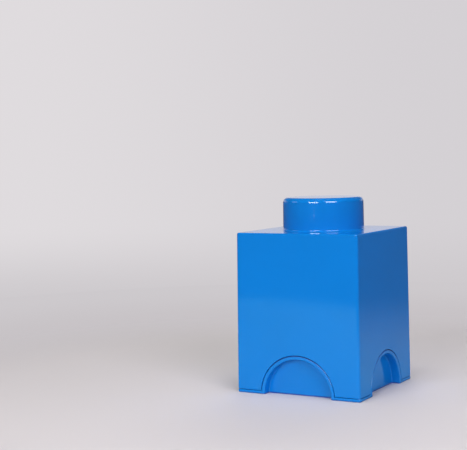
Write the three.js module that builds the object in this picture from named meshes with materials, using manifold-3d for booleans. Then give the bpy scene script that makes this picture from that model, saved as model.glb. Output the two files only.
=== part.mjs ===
// A storage box shaped like a toy building brick with one round stud.
//
// It has two injection-moulded pieces. The tray is a square box on a low flange. Its floor is
// raised, so that the stud of a like box below stands in the room under it, and each of its
// four sides has a half-round finger recess at the foot. The hood is a deep lid with the stud
// on top. It slides straight down over the tray's walls until it seats on the flange, and its
// four arched cut-outs then frame the rims of the recesses.
//
// Millimetres, +Z up. The origin is on the ground, under the middle of the box.

import * as THREE from "three";
import { mergeVertices } from "three/addons/utils/BufferGeometryUtils.js";
import Module from "manifold-3d";

const wasm = await Module();
wasm.setup();

// Body: the outside that hood and tray share
const bodySide = 125; // outside width at the foot
const bodyHeight = 150; // from the ground to the flat top
const bodyLean = 1.2; // how far each side has leaned in by the top, for mould draft
const bodyCornerRadius = 2.4; // upright corners
const bodyTopRadius = 1.5; // edge round the flat top
const bodyFootRadius = 1.2; // edge round the foot
const seamRadius = 0.55; // edges where hood and tray meet on the outside

// Hood
const hoodWall = 2.4;
const hoodRoof = 2.6;
const hoodSeatGap = 0.35; // between the hood's lower edge and the flange
const hoodPlay = 0.5; // between the hood's inside and the tray's walls
const hoodLeadIn = 0.6; // rounding inside the hood's lower edge

// Stud on the hood
const studRadius = 38.4;
const studHeight = 31;
const studLean = 0.3; // draft over its height
const studWall = 2.4;
const studTopRadius = 4.4; // edge round its top
const studFootRadius = 1.4; // fillet where it rises from the roof
const studHollowRadius = 1; // edge where its hollow opens into the hood

// Tray
const trayWall = 2.2;
const trayHeight = 100; // from the ground to the lip
const trayCornerRadius = 1.6; // upright corners of its walls
const trayRoomRadius = 2.6; // upright corners of the room for storage
const trayLipRadius = 0.7;
const trayFloor = 2.4;
const trayFloorRadius = 2; // fillet between floor and walls
const flangeHeight = 3;

// Finger recess in the foot of each side
const archRadius = 33.8;
const archRise = 0.4; // height of the arch's centre above the ground
const archDepth = 8.7; // in from the outside
const archBackRadius = 1.2; // fillet where its back meets its arch
const archMouthRadius = 1.2; // edge where it meets the rim's face
const archRim = 3.4; // width of the rim that the hood leaves bare
const archRimSetback = 0.1; // of the rim's face behind the outside
const archPlay = 0.55; // between that rim and the hood's cut-out

// Room for a like box's stud, under the tray's floor
const socketPlay = 0.8; // round the stud
const socketHeadroom = 2; // over the stud, at least
const ribThickness = 1.8;
const ribLift = 1.5; // how far the ribs stay off the ground
const ribLeadIn = 2; // chamfer at a rib's lower inner corner

// How far a cut runs past what it cuts, how deep joined solids reach into each other, and how
// far a flare's end sinks past the face that it meets
const overrun = 1;
const bite = 0.4;
const skim = 0.02;

// How far a facet may stay inside the curve that it stands for
const facetSag = 0.045;

// Heights and distances that follow from the sizes above
const hoodFoot = flangeHeight + hoodSeatGap;
const roofUnderside = bodyHeight - hoodRoof;
const trayInset = hoodWall + hoodPlay;
const roomInset = trayInset + trayWall;
const wallMiddle = trayInset + trayWall / 2;
const studTop = bodyHeight + studHeight;
const socketCeiling = Math.max(archRise + archRadius, studHeight + socketHeadroom);
const socketRadius = studRadius + socketPlay;
const rimRadius = archRadius + archRim;

const quarter = Math.PI / 2;

// Half the body's outside width at a height.
const sideAt = (z) => bodySide / 2 - (bodyLean * z) / bodyHeight;

// How many facets a quarter turn of a radius takes.
function quarterSteps(radius) {
  const facetTurn = 2 * Math.acos(1 - Math.min(facetSag / Math.abs(radius), 1));
  return Math.max(Math.round(quarter / facetTurn), 2);
}

// The quarter turn of a rounded edge, from where it leaves the side: how far along the side
// each point is, and how far in. A negative radius turns outwards.
function edgeTurn(radius) {
  const steps = radius ? quarterSteps(radius) : 0;
  return Array.from({ length: steps + 1 }, (_, step) => {
    const angle = steps && (step / steps) * quarter;
    return { along: Math.abs(radius) * Math.sin(angle), inward: radius * (1 - Math.cos(angle)) };
  });
}

// Where a block has its sections, and how far each has drawn in, with both ends rounded. A
// negative radius flares that end outwards, and the block runs on past it.
function stations(start, end, startRadius, endRadius) {
  const first = startRadius < 0 ? start - skim : start;
  const last = endRadius < 0 ? end + skim : end;
  const list = [];
  if (startRadius < 0) {
    list.push({ at: first - overrun, inward: startRadius });
  }
  for (const { along, inward } of edgeTurn(startRadius).reverse()) {
    list.push({ at: first + Math.abs(startRadius) - along, inward });
  }
  for (const { along, inward } of edgeTurn(endRadius)) {
    list.push({ at: last - Math.abs(endRadius) + along, inward });
  }
  if (endRadius < 0) {
    list.push({ at: last + overrun, inward: endRadius });
  }
  return list;
}

// The solid of a three.js geometry.
function solid(geometry) {
  const bare = geometry.clone();
  bare.deleteAttribute("normal");
  bare.deleteAttribute("uv");
  const merged = mergeVertices(bare);
  return new wasm.Manifold(
    new wasm.Mesh({
      numProp: 3,
      vertProperties: new Float32Array(merged.attributes.position.array),
      triVerts: new Uint32Array(merged.index.array),
    }),
  );
}

const joined = (solids) => wasm.Manifold.union(solids);

// A closed body through rings of as many points each. The rings are convex and turn
// anticlockwise as seen from the side that the last ring is on.
function loft(rings) {
  const count = rings[0].length;
  const index = [];
  for (let ring = 0; ring + 1 < rings.length; ring++) {
    for (let i = 0; i < count; i++) {
      const here = ring * count + i;
      const next = ring * count + ((i + 1) % count);
      index.push(here, next, next + count);
      index.push(here, next + count, here + count);
    }
  }
  const last = (rings.length - 1) * count;
  for (let i = 1; i + 1 < count; i++) {
    index.push(0, i + 1, i);
    index.push(last, last + i, last + i + 1);
  }
  const geometry = new THREE.BufferGeometry();
  geometry.setFromPoints(rings.flat());
  geometry.setIndex(index);
  return solid(geometry);
}

// A level square ring with round corners of so many facets each.
function squareRing(z, half, radius, steps) {
  const up = new THREE.Vector3(0, 0, 1);
  const points = [];
  for (let corner = 0; corner < 4; corner++) {
    for (let step = 0; step <= steps; step++) {
      const angle = (step / steps) * quarter;
      const x = half - radius + radius * Math.cos(angle);
      const y = half - radius + radius * Math.sin(angle);
      points.push(new THREE.Vector3(x, y, z).applyAxisAngle(up, corner * quarter));
    }
  }
  return points;
}

// A square block whose sides lean with the body's, set in from them by inset.
function squareBlock({ bottom, top, inset, corner, bottomRadius = 0, topRadius = 0 }) {
  const sections = stations(bottom, top, bottomRadius, topRadius);
  const steps = quarterSteps(corner);
  const rings = sections.map(({ at, inward }) => {
    return squareRing(at, sideAt(at) - inset - inward, corner - inward, steps);
  });
  return loft(rings);
}

// A round block whose side draws in by lean over its height.
function roundBlock({ bottom, top, radius, lean, bottomRadius = 0, topRadius = 0 }) {
  const outline = stations(bottom, top, bottomRadius, topRadius).map(({ at, inward }) => {
    const drawn = (lean * (at - bottom)) / (top - bottom);
    return new THREE.Vector2(radius - drawn - inward, at);
  });
  outline.unshift(new THREE.Vector2(0, outline[0].y));
  outline.push(new THREE.Vector2(0, top));
  return solid(new THREE.LatheGeometry(outline, 4 * quarterSteps(radius)).rotateX(quarter));
}

// An upright arch parallel to the front side, set in from it. Where its foot is below its
// centre it stands on straight legs.
function archRing(inset, radius, foot, steps) {
  const onSide = (x, z) => new THREE.Vector3(x, inset - sideAt(z), z);
  const start = Math.asin(Math.max(foot - archRise, 0) / radius);
  const points = [];
  for (let step = 0; step <= steps; step++) {
    const angle = Math.PI - start - (step / steps) * (Math.PI - 2 * start);
    points.push(onSide(radius * Math.cos(angle), archRise + radius * Math.sin(angle)));
  }
  return foot < archRise ? [onSide(-radius, foot), ...points, onSide(radius, foot)] : points;
}

// An arched block from one inset to a deeper one.
function archBlock({ front, back, radius, foot, frontRadius = 0, backRadius = 0 }) {
  const sections = stations(front, back, frontRadius, backRadius);
  const steps = 2 * quarterSteps(radius);
  return loft(sections.map(({ at, inward }) => archRing(at, radius - inward, foot, steps)));
}

// The like copies of something made for the front, one for each side.
function onEachSide(front) {
  return joined([0, 90, 180, 270].map((turn) => front.rotate([0, 0, turn])));
}

// The lid: a deep shell with the stud on top and an arched cut-out in each side.
function makeHood() {
  const shell = squareBlock({
    bottom: hoodFoot,
    top: bodyHeight,
    inset: 0,
    corner: bodyCornerRadius,
    bottomRadius: seamRadius,
    topRadius: bodyTopRadius,
  });
  const stud = roundBlock({
    bottom: bodyHeight,
    top: studTop,
    radius: studRadius,
    lean: studLean,
    bottomRadius: -studFootRadius,
    topRadius: studTopRadius,
  });
  const room = squareBlock({
    bottom: hoodFoot,
    top: roofUnderside,
    inset: hoodWall,
    corner: trayCornerRadius + hoodPlay,
    bottomRadius: -hoodLeadIn,
  });
  const studHollow = roundBlock({
    bottom: roofUnderside,
    top: studTop - studWall,
    radius: studRadius - studWall,
    lean: studLean,
    bottomRadius: -studHollowRadius,
    topRadius: studTopRadius - studWall / 2,
  });
  const cutOut = archBlock({
    front: 0,
    back: hoodWall + overrun,
    radius: rimRadius + archPlay,
    foot: -overrun,
    frontRadius: -seamRadius,
  });
  return shell.add(stud).subtract(joined([room, studHollow, onEachSide(cutOut)]));
}

// The flange, the walls with their lip, and the raised floor, without the recesses.
function trayShell() {
  const flange = squareBlock({
    bottom: 0,
    top: flangeHeight,
    inset: 0,
    corner: bodyCornerRadius,
    bottomRadius: bodyFootRadius,
    topRadius: seamRadius,
  });
  const walls = squareBlock({
    bottom: flangeHeight - bite,
    top: trayHeight,
    inset: trayInset,
    corner: trayCornerRadius,
    topRadius: trayLipRadius,
  });
  const underRoom = squareBlock({
    bottom: -overrun,
    top: socketCeiling,
    inset: roomInset,
    corner: trayCornerRadius,
  });
  const storageRoom = squareBlock({
    bottom: socketCeiling + trayFloor,
    top: trayHeight,
    inset: roomInset,
    corner: trayRoomRadius,
    bottomRadius: trayFloorRadius,
    topRadius: -trayLipRadius,
  });
  return flange.add(walls).subtract(underRoom.add(storageRoom));
}

// The rim on each side, flush with the hood's face, and the wall round each recess.
function recessWalls() {
  const rim = archBlock({
    front: archRimSetback,
    back: wallMiddle,
    radius: rimRadius,
    foot: bodyFootRadius,
    frontRadius: seamRadius,
  });
  const cup = archBlock({
    front: wallMiddle,
    back: archDepth + trayWall,
    radius: archRadius + trayWall,
    foot: 0,
    backRadius: archBackRadius + trayWall / 2,
  });
  return onEachSide(rim.add(cup));
}

// What each recess takes out.
function recesses() {
  const recess = archBlock({
    front: 0,
    back: archDepth,
    radius: archRadius,
    foot: -overrun,
    frontRadius: -archMouthRadius,
    backRadius: archBackRadius,
  });
  return onEachSide(recess);
}

// The four upright ribs that a like box's stud stands between, one from the back of each recess.
function ribs() {
  const end = sideAt(socketCeiling) - archDepth - trayWall / 2;
  const outline = new THREE.Shape([
    new THREE.Vector2(socketRadius, socketCeiling + bite),
    new THREE.Vector2(socketRadius, ribLift + ribLeadIn),
    new THREE.Vector2(socketRadius + ribLeadIn, ribLift),
    new THREE.Vector2(end, ribLift),
    new THREE.Vector2(end, socketCeiling + bite),
  ]);
  const plate = new THREE.ExtrudeGeometry(outline, { depth: ribThickness, bevelEnabled: false });
  plate.translate(0, 0, -ribThickness / 2);
  return onEachSide(solid(plate.rotateX(quarter)));
}

// The tray, from the ground to its lip.
function makeTray() {
  return joined([trayShell(), recessWalls(), ribs()]).subtract(recesses());
}

// A named mesh of a solid, in glossy blue plastic.
function piece(name, made, roughness) {
  const mesh = made.getMesh();
  const geometry = new THREE.BufferGeometry();
  geometry.setAttribute("position", new THREE.BufferAttribute(mesh.vertProperties, 3));
  geometry.setIndex(new THREE.BufferAttribute(mesh.triVerts, 1));
  geometry.computeVertexNormals();
  const material = new THREE.MeshStandardMaterial({ color: 0x1478d6, roughness, metalness: 0 });
  const named = new THREE.Mesh(geometry, material);
  named.name = name;
  return named;
}

const hoodRoughness = 0.2;
const trayRoughness = 0.28;

const box = new THREE.Group();
box.name = "brick_storage_box";
box.add(piece("hood", makeHood(), hoodRoughness));
box.add(piece("tray", makeTray(), trayRoughness));

export default box;
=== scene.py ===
"""Dresses the brick-shaped storage box in glossy blue plastic, on a plain pale floor.

Metres, +Z up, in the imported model's own frame: the box stands on z = 0, its front faces -Y.
"""

import math

import bpy
from mathutils import Matrix, Vector


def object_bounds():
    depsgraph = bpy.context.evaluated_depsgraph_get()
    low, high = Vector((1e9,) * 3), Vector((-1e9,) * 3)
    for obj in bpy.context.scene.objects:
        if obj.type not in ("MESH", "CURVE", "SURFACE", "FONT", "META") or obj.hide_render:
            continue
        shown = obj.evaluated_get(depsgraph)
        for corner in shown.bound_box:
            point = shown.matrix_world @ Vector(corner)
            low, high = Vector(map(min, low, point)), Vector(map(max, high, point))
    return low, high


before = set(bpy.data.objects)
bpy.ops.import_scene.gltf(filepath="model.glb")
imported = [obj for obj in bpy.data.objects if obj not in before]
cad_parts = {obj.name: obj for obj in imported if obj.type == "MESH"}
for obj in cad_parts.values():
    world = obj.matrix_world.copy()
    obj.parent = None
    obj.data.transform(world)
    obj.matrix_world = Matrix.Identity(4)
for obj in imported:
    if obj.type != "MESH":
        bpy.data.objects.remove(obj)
cad_low, cad_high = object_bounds()

MM = 0.001

# The photograph's frame, in pixels, and the camera that was solved from it
PHOTO_WIDTH = 467
FOCAL_PIXELS = 1187.2
SENSOR_WIDTH = 36.0
CAMERA_PLACE = Vector((482.7, -1024.6, 223.8)) * MM
CAMERA_HEADING = math.radians(29.57)
CAMERA_PITCH = math.radians(-3.44)
CAMERA_ROLL = math.radians(-1.22)

# Level directions across the photograph, and away from its camera
RIGHTWARDS = (math.cos(CAMERA_HEADING), math.sin(CAMERA_HEADING), 0.0)
BACKWARDS = (-math.sin(CAMERA_HEADING), math.cos(CAMERA_HEADING), 0.0)

# The box's sizes that its finish follows
HALF_SIDE = cad_high[0]
STUD_TOP = cad_high[2]
STUD_HEIGHT = 31 * MM
SHOULDER = STUD_TOP - STUD_HEIGHT
STUD_RADIUS = 38.4 * MM
LEAN_SHARE = 1.2 / 150
WALL = 2.4 * MM
RECESS_DEPTH = 8.7 * MM
RECESS_RADIUS = 33.8 * MM
RIM = 3.4 * MM
RIM_PLAY = 0.55 * MM

# Which edges of the mouldings' meshes are corners, and which are flat
CORNER_ANGLE = math.radians(50)
FLAT_ANGLE = math.radians(0.3)
WELD = 0.002 * MM

# What the lamps point at
TARGET = Vector((0.0, 0.0, 0.09))

# Linear colours of the plastic, and of the painted shade in the lines at its seams and foot
BLUE = (0.002, 0.205, 0.631, 1.0)
SEAM_PAINTED_SHADE = (0.0, 0.085, 0.4, 1.0)
FOOT_PAINTED_SHADE = (0.0, 0.02, 0.24, 1.0)

# Linear colours of the floor: to the camera, in the light it throws back, and as it is mirrored
FLOOR_COLOUR = (0.727, 0.68, 0.664, 1.0)
FLOOR_BOUNCE = (0.7, 0.66, 0.72, 1.0)
MIRRORED_BEFORE = (0.32, 0.77, 0.72, 1.0)
MIRRORED_BEHIND = (0.42, 0.5, 0.58, 1.0)

# Linear colours of the backdrop to the camera, and of the room to all else
BACKDROP_LOW = (0.61, 0.585, 0.607, 1.0)
BACKDROP_LEFT = (0.74, 0.712, 0.732, 1.0)
BACKDROP_RIGHT = (0.66, 0.635, 0.66, 1.0)
# The band of painted shade where the floor fades into the backdrop
BACKDROP_SHADE_BAND = (0.57, 0.54, 0.56, 1.0)
ROOM_LOW = (0.105, 0.105, 0.105, 1.0)
ROOM_SIDES = (0.05, 0.055, 0.065, 1.0)
ROOM_WALL = (0.71, 0.69, 0.71, 1.0)
ROOM_HIGH = (0.07, 0.075, 0.09, 1.0)

# The plastic's gloss, and what wear and dust add to its roughness
PLASTIC_IOR = 1.49
HOOD_ROUGHNESS = 0.06
TRAY_ROUGHNESS = 0.09
HIDDEN_ROUGHNESS = 0.32
RUBBED_ROUGHNESS = 0.05
SCRATCH_ROUGHNESS = 0.12
DUST_ROUGHNESS = 0.5

# The plastic's uneven patches: their size, the noise that they begin and end at, and the tints
RUBBED_SIZE = 14 * MM
RUBBED_NOISE = (0.52, 0.78)
TINT_SIZE = 60 * MM
TINT_NOISE = (0.3, 0.7)
TINT_RANGE = (0.985, 1.015)

# The plastic's faint waves and grain, by size and height
WAVE_SIZE = 40 * MM
WAVE_HEIGHT = 0.04 * MM
GRAIN_SIZE = 1.4 * MM
GRAIN_HEIGHT = 0.002 * MM

# The scratches' width, the noise they begin and end at, and two ways, by turn and drawn length
SCRATCH_WIDTH = 0.7 * MM
SCRATCH_NOISE = (0.74, 0.8)
SCRATCH_WAYS = (((0.3, 0.5, 0.9), 40.0), ((-0.7, 0.2, 0.4), 30.0))

# Where the painted shade in a rim's seam fades: beside it, below the face, in shares up the arch, in
# depth
SEAM_BESIDE = (0.9 * MM, 1.3 * MM)
SEAM_BELOW_FACE = (HALF_SIDE - 0.25 * MM, HALF_SIDE - 0.05 * MM)
SEAM_UP_ARCH = (0.4, 0.95)
SEAM_DEPTH = WALL + 0.6 * MM

# The painted shade of the dark line at the foot: its start, its fade upwards, its strength in a
# recess and outside
FOOT_START = 0.02 * MM
FOOT_FADE = (0.3 * MM, 1.8 * MM)
FOOT_IN_RECESS = 0.9
FOOT_OUTSIDE = 0.35
FOOT_CHANGE = (HALF_SIDE - 2 * MM, HALF_SIDE - 0.5 * MM)

# The floor's disc and gloss, and the distances over which it and the band of painted shade beyond it
# fade out
FLOOR_RADIUS = 0.9
FLOOR_SIDES = 96
FLOOR_IOR = 1.3
FLOOR_ROUGHNESS = 0.75
FADE_TO_CAMERA = (0.3, 0.5)
FADE_TO_OTHERS = (0.27, 0.85)
BAND_REACH = (0.45, 0.85)

# How far back from the axis the mirrored floor starts, changes its colour and begins to fade
MIRRORED_EDGE = (-0.56, -0.45)
MIRRORED_CHANGE = (-0.3, 0.3)
MIRRORED_FADE = (-0.1, 0.1)

# Where the backdrop and the room change, as sines of angles: across, back and upwards
BACKDROP_ACROSS = (-0.2, 0.2)
BACKDROP_UP = (-0.125, -0.055)
ROOM_WALL_BACK = (0.5, 0.85)
ROOM_WALL_TOP = (0.2, 0.3)
HORIZON = (-0.01, 0.01)


def make_camera():
    """The photograph's camera."""
    data = bpy.data.cameras.new("photo_camera")
    data.sensor_fit = "HORIZONTAL"
    data.sensor_width = SENSOR_WIDTH
    data.lens = FOCAL_PIXELS / PHOTO_WIDTH * SENSOR_WIDTH
    data.clip_start = 0.05
    data.clip_end = 50.0
    camera = bpy.data.objects.new("photo_camera", data)
    turn = Matrix.Rotation(CAMERA_HEADING, 4, "Z")
    turn = turn @ Matrix.Rotation(math.pi / 2 + CAMERA_PITCH, 4, "X")
    turn = turn @ Matrix.Rotation(CAMERA_ROLL, 4, "Z")
    camera.matrix_world = Matrix.Translation(CAMERA_PLACE) @ turn
    bpy.context.scene.collection.objects.link(camera)
    bpy.context.scene.camera = camera


def add_node(tree, kind, inputs=None, **settings):
    """A node. Inputs are given by name or number, as values or as sockets to link."""
    made = tree.nodes.new(kind)
    for name, value in settings.items():
        setattr(made, name, value)
    for key, value in (inputs or {}).items():
        if isinstance(value, bpy.types.NodeSocket):
            tree.links.new(value, made.inputs[key])
        else:
            made.inputs[key].default_value = value
    return made


def maths(tree, operation, *values):
    """The result of one sum on values or sockets."""
    inputs = dict(enumerate(values))
    return add_node(tree, "ShaderNodeMath", inputs, operation=operation).outputs[0]


def vector_maths(tree, operation, *values, result=0):
    """The result of one sum on vectors."""
    inputs = dict(enumerate(values))
    return add_node(tree, "ShaderNodeVectorMath", inputs, operation=operation).outputs[result]


def scaled(tree, vector, factor):
    """A vector, or a colour, times a factor."""
    made = add_node(tree, "ShaderNodeVectorMath", {0: vector, "Scale": factor}, operation="SCALE")
    return made.outputs[0]


def ramp_between(tree, value, low, high, to_low=0.0, to_high=1.0):
    """A smooth step of a value from one level to another."""
    inputs = {0: value, 1: low, 2: high, 3: to_low, 4: to_high}
    made = add_node(tree, "ShaderNodeMapRange", inputs, interpolation_type="SMOOTHSTEP")
    return made.outputs[0]


def mix_colour(tree, factor, first, second):
    """One colour faded into another."""
    made = add_node(tree, "ShaderNodeMix", {0: factor, 6: first, 7: second}, data_type="RGBA")
    return made.outputs[2]


def noise(tree, where, size, detail=2.0, roughness=0.5):
    """Noise whose features are about a size across, in metres."""
    inputs = {"Vector": where, "Scale": 1.0 / size, "Detail": detail, "Roughness": roughness}
    return add_node(tree, "ShaderNodeTexNoise", inputs).outputs[0]


def new_material(name):
    """An empty node material and its output node."""
    material = bpy.data.materials.new(name)
    material.use_nodes = True
    material.node_tree.nodes.clear()
    return material, add_node(material.node_tree, "ShaderNodeOutputMaterial")


def make_even_shading():
    """A modifier's node group: each corner takes the normals of the widest flats that it joins.

    Flats stay flat up to their edges, fillets look round, and edges past CORNER_ANGLE stay crisp.
    """
    group = bpy.data.node_groups.new("even_shading", "GeometryNodeTree")
    for way in ("INPUT", "OUTPUT"):
        group.interface.new_socket("Geometry", in_out=way, socket_type="NodeSocketGeometry")
    mesh = add_node(group, "NodeGroupInput").outputs[0]
    mesh = add_node(group, "GeometryNodeMergeByDistance", {0: mesh, "Distance": WELD}).outputs[0]
    for domain in ("FACE", "EDGE"):
        inputs = {0: mesh, "Shade Smooth": True}
        mesh = add_node(group, "GeometryNodeSetShadeSmooth", inputs, domain=domain).outputs[0]
    inputs = {"Mesh": mesh, "Remove Custom": True}
    mesh = add_node(group, "GeometryNodeSetMeshNormal", inputs, mode="SHARPNESS").outputs[0]

    bend = add_node(group, "GeometryNodeInputMeshEdgeAngle").outputs[0]
    limits = maths(group, "GREATER_THAN", bend, FLAT_ANGLE)
    flat = add_node(group, "GeometryNodeEdgesToFaceGroups", {0: limits}).outputs[0]
    area = add_node(group, "GeometryNodeInputMeshFaceArea").outputs[0]
    inputs = {"Value": area, "Group ID": flat}
    total = add_node(group, "GeometryNodeAccumulateField", inputs, domain="FACE").outputs["Total"]
    weight = maths(group, "POWER", maths(group, "DIVIDE", total, MM * MM), 4.0)
    normal = add_node(group, "GeometryNodeInputNormal").outputs["True Normal"]
    kept = add_node(group, "GeometryNodeCaptureAttribute", {0: mesh}, domain="FACE")
    kept.capture_items.new("VECTOR", "pull")
    group.links.new(scaled(group, normal, weight), kept.inputs[1])

    corners = maths(group, "GREATER_THAN", bend, CORNER_ANGLE)
    mesh = add_node(group, "GeometryNodeSplitEdges", {0: kept.outputs[0], 1: corners}).outputs[0]
    turned = vector_maths(group, "NORMALIZE", kept.outputs[1])
    set_normal = add_node(group, "GeometryNodeSetMeshNormal", mode="FREE", domain="POINT")
    group.links.new(mesh, set_normal.inputs["Mesh"])
    group.links.new(turned, set_normal.inputs["Custom Normal"])
    group.links.new(set_normal.outputs[0], add_node(group, "NodeGroupOutput").inputs[0])
    return group


def sides_of(tree, place):
    """A point's nearer and farther reach from the axis, its reach before the lean, and its height."""
    parts = add_node(tree, "ShaderNodeSeparateXYZ", {0: place}).outputs
    across = maths(tree, "ABSOLUTE", parts[0])
    along = maths(tree, "ABSOLUTE", parts[1])
    near = maths(tree, "MINIMUM", across, along)
    far = maths(tree, "MAXIMUM", across, along)
    upright = maths(tree, "MULTIPLY_ADD", parts[2], LEAN_SHARE, far)
    return near, far, upright, parts[2]


def hypotenuse(tree, first, second):
    """The length of a slanting way from its two square parts."""
    square = maths(tree, "POWER", second, 2.0)
    return maths(tree, "SQRT", maths(tree, "MULTIPLY_ADD", first, first, square))


def inside_hood(tree, place):
    """1 on the hood's hidden faces: within its walls and roof, or within its stud."""
    near, far, upright, height = sides_of(tree, place)
    within_walls = maths(tree, "LESS_THAN", upright, HALF_SIDE - WALL / 2)
    under_roof = maths(tree, "LESS_THAN", height, SHOULDER - WALL / 2)
    within_stud = maths(tree, "LESS_THAN", hypotenuse(tree, near, far), STUD_RADIUS - WALL / 2)
    under_top = maths(tree, "LESS_THAN", height, STUD_TOP - WALL / 2)
    in_body = maths(tree, "MULTIPLY", within_walls, under_roof)
    in_stud = maths(tree, "MULTIPLY", within_stud, under_top)
    return maths(tree, "MAXIMUM", in_body, in_stud)


def inside_tray(tree, place):
    """1 on the tray's faces apart from its flange and rims, and the four recesses."""
    near, _, upright, height = sides_of(tree, place)
    shown = maths(tree, "GREATER_THAN", upright, HALF_SIDE - WALL / 2)
    in_arch = maths(tree, "LESS_THAN", hypotenuse(tree, near, height), RECESS_RADIUS + WALL / 2)
    in_depth = maths(tree, "GREATER_THAN", upright, HALF_SIDE - RECESS_DEPTH - WALL / 2)
    recess = maths(tree, "MULTIPLY", in_arch, in_depth)
    return maths(tree, "SUBTRACT", 1.0, maths(tree, "MAXIMUM", shown, recess))


def painted_seam_shade(tree, place):
    """Painted shade in the seam round a recess's rim: how deep in it a point is, 0 to 1, most at the
    crown.
    """
    near, _, upright, height = sides_of(tree, place)
    seam_radius = RECESS_RADIUS + RIM + RIM_PLAY / 2
    off_seam = maths(tree, "SUBTRACT", hypotenuse(tree, near, height), seam_radius)
    off_seam = maths(tree, "ABSOLUTE", off_seam)
    beside = ramp_between(tree, off_seam, *SEAM_BESIDE, 1.0, 0.0)
    below_face = ramp_between(tree, upright, *SEAM_BELOW_FACE, 1.0, 0.0)
    within_wall = maths(tree, "GREATER_THAN", upright, HALF_SIDE - SEAM_DEPTH)
    in_seam = maths(tree, "MULTIPLY", maths(tree, "MULTIPLY", beside, below_face), within_wall)
    low, high = (share * seam_radius for share in SEAM_UP_ARCH)
    return maths(tree, "MULTIPLY", in_seam, ramp_between(tree, height, low, high))


def painted_foot_shade(tree, place):
    """Painted shade at the foot: how close to the ground an outer face is, from 0 to 1, more in the
    recesses than outside.
    """
    _, _, upright, height = sides_of(tree, place)
    low = ramp_between(tree, height, *FOOT_FADE, 1.0, 0.0)
    off_ground = maths(tree, "GREATER_THAN", height, FOOT_START)
    share = ramp_between(tree, upright, *FOOT_CHANGE, FOOT_IN_RECESS, FOOT_OUTSIDE)
    outer = maths(tree, "GREATER_THAN", upright, HALF_SIDE - RECESS_DEPTH - WALL / 4)
    line = maths(tree, "MULTIPLY", low, share)
    return maths(tree, "MULTIPLY", line, maths(tree, "MULTIPLY", outer, off_ground))


def scratches(tree, place):
    """Sparse hairlines, 1 where one lies: noise drawn out along two slanting directions."""
    lines = []
    for turn, drawn in SCRATCH_WAYS:
        inputs = {"Vector": place, "Rotation": turn, "Scale": (1.0, 1.0, 1.0 / drawn)}
        across = add_node(tree, "ShaderNodeMapping", inputs).outputs[0]
        streaks = noise(tree, across, SCRATCH_WIDTH, detail=0.0)
        lines.append(ramp_between(tree, streaks, *SCRATCH_NOISE))
    return maths(tree, "MAXIMUM", *lines)


def moulded_plastic(name, roughness, inside):
    """Glossy moulded plastic: slightly wavy, faintly scuffed, satin on hidden faces, painted shade at
    seams and foot.
    """
    material, output = new_material(name)
    tree = material.node_tree
    place = add_node(tree, "ShaderNodeTexCoord").outputs["Object"]
    hidden = inside(tree, place)
    seam_shade = painted_seam_shade(tree, place)
    foot_shade = painted_foot_shade(tree, place)

    handled = noise(tree, place, RUBBED_SIZE, detail=6.0, roughness=0.7)
    dull = ramp_between(tree, hidden, 0.0, 1.0, roughness, HIDDEN_ROUGHNESS)
    rubbed = ramp_between(tree, handled, *RUBBED_NOISE, 0.0, RUBBED_ROUGHNESS)
    hairlines = maths(tree, "MULTIPLY", scratches(tree, place), SCRATCH_ROUGHNESS)
    dusty = maths(tree, "MULTIPLY", maths(tree, "MAXIMUM", seam_shade, foot_shade), DUST_ROUGHNESS)
    rough = maths(tree, "ADD", maths(tree, "ADD", dull, rubbed), maths(tree, "ADD", hairlines, dusty))

    clouds = noise(tree, place, TINT_SIZE, detail=1.0)
    tint = ramp_between(tree, clouds, *TINT_NOISE, *TINT_RANGE)
    # Painted shade: the colour darkens in the seams round the rims and in the line along the foot
    shaded = mix_colour(tree, foot_shade, mix_colour(tree, seam_shade, BLUE, SEAM_PAINTED_SHADE), FOOT_PAINTED_SHADE)
    colour = scaled(tree, shaded, tint)

    waves = noise(tree, place, WAVE_SIZE, detail=0.0)
    swell = add_node(tree, "ShaderNodeBump", {"Height": waves, "Distance": WAVE_HEIGHT})
    peel = noise(tree, place, GRAIN_SIZE, detail=1.0)
    inputs = {"Height": peel, "Distance": GRAIN_HEIGHT, "Normal": swell.outputs[0]}
    grain = add_node(tree, "ShaderNodeBump", inputs)
    shader = add_node(tree, "ShaderNodeBsdfPrincipled", {"IOR": PLASTIC_IOR})
    tree.links.new(colour, shader.inputs["Base Color"])
    tree.links.new(rough, shader.inputs["Roughness"])
    tree.links.new(grain.outputs[0], shader.inputs["Normal"])
    tree.links.new(shader.outputs[0], output.inputs[0])
    return material


def dress_nodes():
    """Gives the two mouldings their plastic, and even shading over their small facets."""
    finishes = {
        "hood": moulded_plastic("hood_gloss", HOOD_ROUGHNESS, inside_hood),
        "tray": moulded_plastic("tray_gloss", TRAY_ROUGHNESS, inside_tray),
    }
    shading = make_even_shading()
    for name, material in finishes.items():
        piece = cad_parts[name]
        piece.data.materials.clear()
        piece.data.materials.append(material)
        piece.modifiers.new("even_shading", "NODES").node_group = shading


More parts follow.
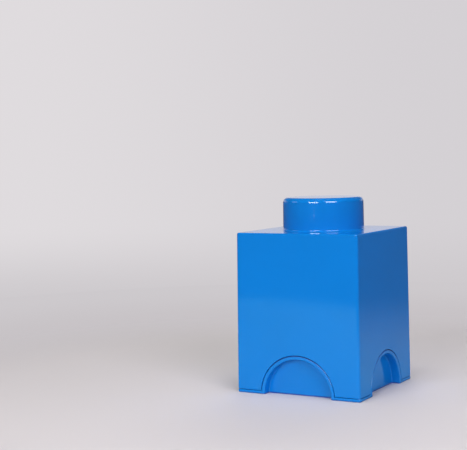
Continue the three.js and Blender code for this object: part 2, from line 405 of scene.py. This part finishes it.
def floor_material():
    """Pale and fading into the backdrop to the camera, with colours of its own to other rays."""
    material, output = new_material("pale_floor")
    tree = material.node_tree
    place = add_node(tree, "ShaderNodeTexCoord").outputs["Object"]
    away = vector_maths(tree, "LENGTH", place, result=1)
    back = vector_maths(tree, "DOT_PRODUCT", place, BACKWARDS, result=1)
    path = add_node(tree, "ShaderNodeLightPath").outputs
    to_camera, mirrored = path["Is Camera Ray"], path["Is Glossy Ray"]

    reflected = ramp_between(tree, back, *MIRRORED_CHANGE)
    reflected = mix_colour(tree, reflected, MIRRORED_BEFORE, MIRRORED_BEHIND)
    colour = mix_colour(tree, to_camera, FLOOR_BOUNCE, FLOOR_COLOUR)
    colour = mix_colour(tree, mirrored, colour, reflected)
    inputs = {"Base Color": colour, "Roughness": FLOOR_ROUGHNESS, "IOR": FLOOR_IOR}
    matt = add_node(tree, "ShaderNodeBsdfPrincipled", inputs)

    # To the camera the floor beyond the box glows in the backdrop's colour, darkened by a band of
    # painted shade
    backdrop = ramp_between(tree, away, *BAND_REACH)
    backdrop = mix_colour(tree, backdrop, BACKDROP_SHADE_BAND, BACKDROP_LOW)
    beyond = mix_colour(tree, to_camera, ROOM_LOW, backdrop)
    glow = add_node(tree, "ShaderNodeEmission", {"Color": beyond, "Strength": 1.0})

    starts, ends = zip(FADE_TO_OTHERS, FADE_TO_CAMERA)
    fade_start = ramp_between(tree, to_camera, 0.0, 1.0, *starts)
    fade_end = ramp_between(tree, to_camera, 0.0, 1.0, *ends)
    fade = ramp_between(tree, away, fade_start, fade_end)
    front_edge = ramp_between(tree, back, *MIRRORED_EDGE, 1.0, 0.0)
    behind = maths(tree, "MULTIPLY", fade, ramp_between(tree, back, *MIRRORED_FADE))
    mirrored_fade = maths(tree, "MAXIMUM", front_edge, behind)
    fade = ramp_between(tree, mirrored, 0.0, 1.0, fade, mirrored_fade)
    inputs = {0: fade, 1: matt.outputs[0], 2: glow.outputs[0]}
    mixed = add_node(tree, "ShaderNodeMixShader", inputs)
    tree.links.new(mixed.outputs[0], output.inputs[0])
    return material


def make_floor():
    """A disc for the box to stand on."""
    ring = [
        (FLOOR_RADIUS * math.cos(turn), FLOOR_RADIUS * math.sin(turn), 0.0)
        for turn in (i / FLOOR_SIDES * math.tau for i in range(FLOOR_SIDES))
    ]
    mesh = bpy.data.meshes.new("floor")
    mesh.from_pydata(ring, [], [list(range(FLOOR_SIDES))])
    mesh.materials.append(floor_material())
    floor = bpy.data.objects.new("floor", mesh)
    bpy.context.scene.collection.objects.link(floor)


def make_world():
    """A plain backdrop for the camera. For the rest, a dim room with a pale wall behind the box."""
    world = bpy.data.worlds.new("studio")
    world.use_nodes = True
    bpy.context.scene.world = world
    tree = world.node_tree
    tree.nodes.clear()
    output = add_node(tree, "ShaderNodeOutputWorld")
    towards = add_node(tree, "ShaderNodeTexCoord").outputs["Generated"]
    height = add_node(tree, "ShaderNodeSeparateXYZ", {0: towards}).outputs[2]

    side = vector_maths(tree, "DOT_PRODUCT", towards, RIGHTWARDS, result=1)
    across = ramp_between(tree, side, *BACKDROP_ACROSS)
    high = mix_colour(tree, across, BACKDROP_LEFT, BACKDROP_RIGHT)
    up = ramp_between(tree, height, *BACKDROP_UP)
    backdrop = mix_colour(tree, up, BACKDROP_LOW, high)

    behind = vector_maths(tree, "DOT_PRODUCT", towards, BACKWARDS, result=1)
    around = ramp_between(tree, behind, *ROOM_WALL_BACK)
    around = mix_colour(tree, around, ROOM_SIDES, ROOM_WALL)
    wall = mix_colour(tree, ramp_between(tree, height, *ROOM_WALL_TOP), around, ROOM_HIGH)
    room = mix_colour(tree, ramp_between(tree, height, *HORIZON), ROOM_LOW, wall)
    to_camera = add_node(tree, "ShaderNodeLightPath").outputs["Is Camera Ray"]
    seen = mix_colour(tree, to_camera, room, backdrop)
    shade = add_node(tree, "ShaderNodeBackground", {"Color": seen, "Strength": 1.0})
    tree.links.new(shade.outputs[0], output.inputs[0])


def softbox(
    name, azimuth, elevation, distance, size, level, colour=(1, 1, 1), mirrored=True, lights=True
):
    """A soft lamp, azimuth degrees from the front towards +X and elevation degrees up.

    Level is what it adds to a white surface that faces it, 1 being plain white. With mirrored it
    shows in glossy surfaces, and with lights it lights them.
    """
    data = bpy.data.lights.new(name, "AREA")
    data.shape = "RECTANGLE"
    data.size, data.size_y = size
    data.energy = level * math.pi**2 * distance**2
    data.color = colour
    lamp = bpy.data.objects.new(name, data)
    lamp.visible_glossy = mirrored
    lamp.visible_diffuse = lights
    turn, lift = math.radians(azimuth), math.radians(elevation)
    away = Vector(
        (math.sin(turn) * math.cos(lift), -math.cos(turn) * math.cos(lift), math.sin(lift))
    )
    lamp.location = TARGET + away * distance
    lamp.rotation_mode = "QUATERNION"
    lamp.rotation_quaternion = away.to_track_quat("Z", "Y")
    bpy.context.scene.collection.objects.link(lamp)


def make_lamps():
    """Two softboxes, to either side of the camera, and weaker light from the rest.

    Each softbox is one lamp that lights and, 5 cm before it so that mirrored rays meet it first,
    one that glares.
    """
    cool = (0.88, 0.86, 1.0)
    softbox("left_softbox", -2, 16, 1.5, (0.7, 0.5), 0.458, mirrored=False)
    softbox("right_softbox", 50, 26, 1.5, (0.8, 0.8), 0.47, colour=cool, mirrored=False)
    softbox("left_glare", -2, 16, 1.45, (0.68, 0.48), 0.9, lights=False)
    softbox("right_glare", 50, 26, 1.45, (0.77, 0.77), 0.9, lights=False)
    softbox("far_left_card", -66, 20, 1.5, (0.5, 0.45), 0.05)
    softbox("top_fill", 20, 80, 1.8, (1.0, 1.0), 0.45, mirrored=False)
    softbox("back_fill", 195, 35, 1.8, (1.2, 0.8), 0.25, mirrored=False)


make_camera()
dress_nodes()
make_floor()
make_world()
make_lamps()
bpy.context.scene.view_settings.view_transform = "Standard"
